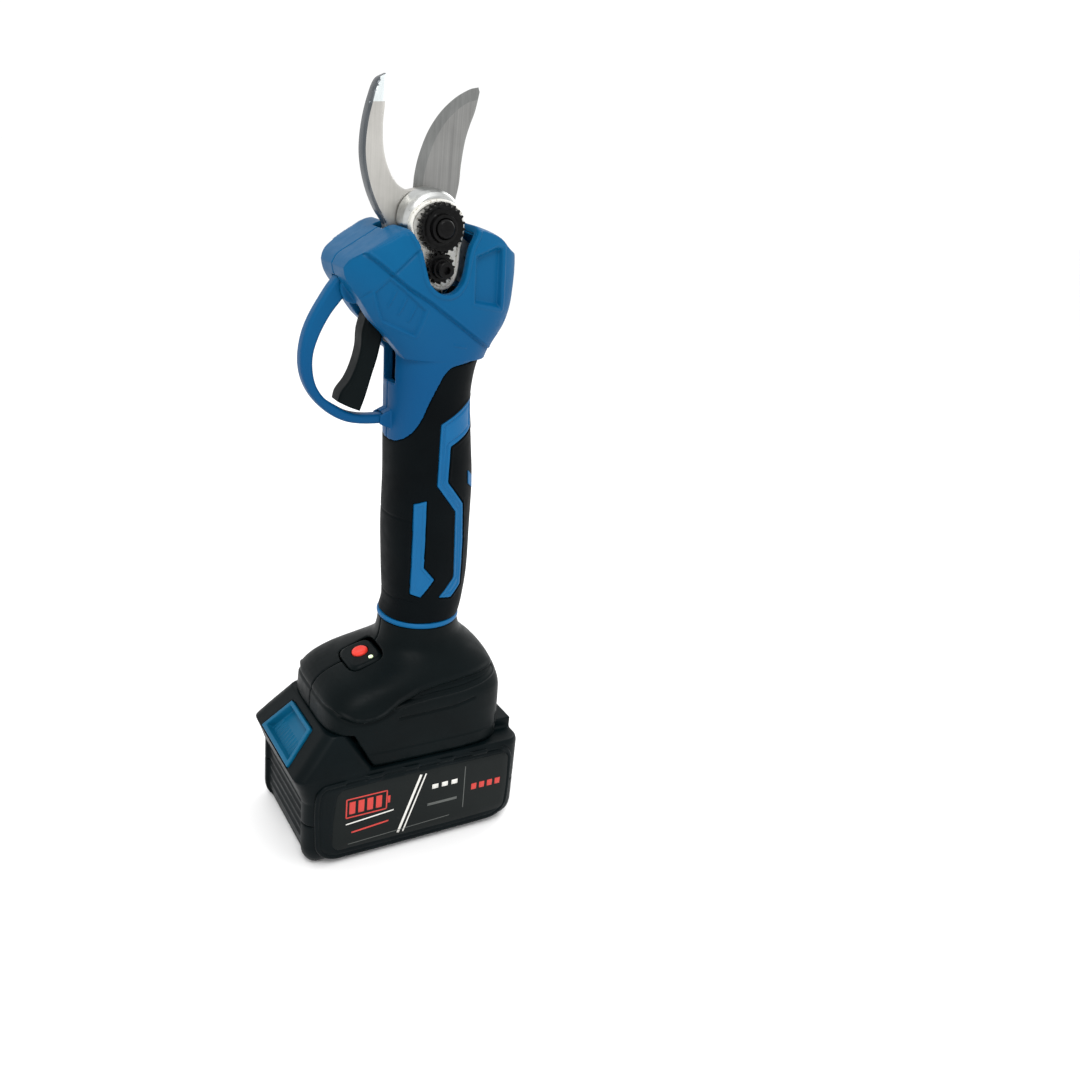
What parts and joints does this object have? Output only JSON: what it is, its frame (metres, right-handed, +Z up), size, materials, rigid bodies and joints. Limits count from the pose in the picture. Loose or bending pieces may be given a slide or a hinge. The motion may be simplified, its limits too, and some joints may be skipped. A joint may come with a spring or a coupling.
{
  "type": "cordless battery pruner",
  "caption": "Cordless bypass pruner: a motor in the upright handle swings a crescent blade past a fixed hook; a slide-on battery forms the foot.",
  "frame": {"origin": "on the handle axis, at the flat underside of the battery that the tool stands on", "axes": "+Z up the handle to the blades, -X to the trigger and the battery release, +X to the back of the hand, -Y to the side with the toothed pivot nut"},
  "size_m": [0.1209, 0.0754, 0.36],
  "materials": {
    "blue_abs": "satin moulded",
    "black_overmould": "matte",
    "black_nylon": "fine spark texture",
    "ground_steel": "ground",
    "polished_steel": "polished",
    "cast_aluminium": "cast, bead blasted",
    "black_oxide_steel": "black oxide",
    "sintered_bronze": "sintered",
    "copper_winding": "enamelled wire",
    "red_silicone": "satin",
    "led_lens": "translucent",
    "circuit_board": "solder mask",
    "cell_sleeve": "shrink film",
    "label_film": "printed film",
    "cable_jacket": "matte"
  },
  "bodies": {
    "tool_body": {"head_casting": "cast_aluminium", "fixed_blade": "ground_steel", "pivot_bolt": "black_oxide_steel", "thrust_washer": "polished_steel", "pivot_nut": "black_oxide_steel", "lock_gear": "black_oxide_steel", "lock_screw": "black_oxide_steel", "blade_screw_upper": "black_oxide_steel", "blade_screw_lower": "black_oxide_steel", "gear_cover": "cast_aluminium", "output_bearing": "polished_steel", "ring_gear": "ground_steel", "carrier_bearing": "polished_steel", "motor_can": "black_oxide_steel", "motor_stator": "copper_winding", "motor_bearing_front": "polished_steel", "motor_bearing_rear": "polished_steel", "motor_end_cap": "black_nylon", "shell_left": "blue_abs", "shell_right": "blue_abs", "shell_screw_1": "black_oxide_steel", "shell_screw_2": "black_oxide_steel", "trigger_guard": "blue_abs", "grip_sleeve": "black_overmould", "collar_ring": "blue_abs", "trigger_pin": "polished_steel", "trigger_spring": "polished_steel", "trigger_switch": "black_nylon", "base_left": "black_nylon", "base_right": "black_nylon", "base_screw_1": "black_oxide_steel", "base_screw_2": "black_oxide_steel", "switch_pod": "black_nylon", "led_lens": "led_lens", "control_board": "circuit_board", "terminal_block": "black_nylon", "motor_cable": "cable_jacket", "switch_cable": "cable_jacket"},
    "cutting_blade": {"moving_blade": "ground_steel", "pivot_bush": "sintered_bronze"},
    "output_shaft": {"output_pinion": "black_oxide_steel", "bevel_gear": "black_oxide_steel"},
    "carrier": {"planet_carrier": "polished_steel", "bevel_pinion": "black_oxide_steel"},
    "planet_1": {"planet_gear_1": "polished_steel"},
    "planet_2": {"planet_gear_2": "polished_steel"},
    "planet_3": {"planet_gear_3": "polished_steel"},
    "rotor": {"motor_rotor": "ground_steel", "sun_gear": "black_oxide_steel"},
    "trigger_lever": {"trigger": "black_nylon"},
    "power_key": {"power_button": "red_silicone"},
    "battery": {"battery_case_lower": "black_nylon", "battery_case_upper": "black_nylon", "battery_label_left": "label_film", "battery_label_right": "label_film", "cell_row_lower": "cell_sleeve", "cell_row_upper": "cell_sleeve", "battery_board": "circuit_board", "latch_spring": "polished_steel"},
    "release_key": {"battery_release_button": "blue_abs"}
  },
  "joints": [
    {"name": "blade_swing", "type": "hinge", "parent": "tool_body", "child": "cutting_blade", "pos_m": [-0.0105, 0, 0.303], "axis": [0, -1, 0], "range_deg": [0, 46]},
    {"name": "output_spin", "type": "hinge", "parent": "tool_body", "child": "output_shaft", "pos_m": [-0.0015, 0, 0.276], "axis": [0, -1, 0], "range_deg": [-184, 0]},
    {"name": "carrier_spin", "type": "hinge", "parent": "tool_body", "child": "carrier", "pos_m": [-0.0015, 0, 0.238], "axis": [0, 0, 1], "range_deg": [-460, 0]},
    {"name": "planet_1_spin", "type": "hinge", "parent": "carrier", "child": "planet_1", "pos_m": [0.00525, 0, 0.232], "axis": [0, 0, 1], "range_deg": [0, 1288]},
    {"name": "planet_2_spin", "type": "hinge", "parent": "carrier", "child": "planet_2", "pos_m": [-0.00487, 0.00585, 0.232], "axis": [0, 0, 1], "range_deg": [0, 1288]},
    {"name": "planet_3_spin", "type": "hinge", "parent": "carrier", "child": "planet_3", "pos_m": [-0.00487, -0.00585, 0.232], "axis": [0, 0, 1], "range_deg": [0, 1288]},
    {"name": "motor_spin", "type": "hinge", "parent": "tool_body", "child": "rotor", "pos_m": [-0.0015, 0, 0.19], "axis": [0, 0, 1], "range_deg": [-2070, 0]},
    {"name": "trigger_pull", "type": "hinge", "parent": "tool_body", "child": "trigger_lever", "pos_m": [-0.031, 0, 0.264], "axis": [0, -1, 0], "range_deg": [0, 10], "stiffness_Nm_per_rad": 0.15, "springref_deg": -17.19, "deforming": ["trigger_spring"]},
    {"name": "button_press", "type": "slide", "parent": "tool_body", "child": "power_key", "axis": [0.2924, 0, -0.9563], "range_m": [0, 0.002], "stiffness_N_per_m": 600, "springref_m": -0.001},
    {"name": "battery_slide", "type": "slide", "parent": "tool_body", "child": "battery", "axis": [-1, 0, 0], "range_m": [0, 0.11]},
    {"name": "release_press", "type": "slide", "parent": "battery", "child": "release_key", "axis": [0.7385, 0, -0.6743], "range_m": [0, 0.003], "stiffness_N_per_m": 700, "springref_m": -0.003, "deforming": ["latch_spring"]}
  ],
  "couplings": [
    {"joint": "output_spin", "follows": "blade_swing", "ratio": -4},
    {"joint": "carrier_spin", "follows": "blade_swing", "ratio": -10},
    {"joint": "planet_1_spin", "follows": "blade_swing", "ratio": 28},
    {"joint": "planet_2_spin", "follows": "blade_swing", "ratio": 28},
    {"joint": "planet_3_spin", "follows": "blade_swing", "ratio": 28},
    {"joint": "motor_spin", "follows": "blade_swing", "ratio": -45}
  ]
}
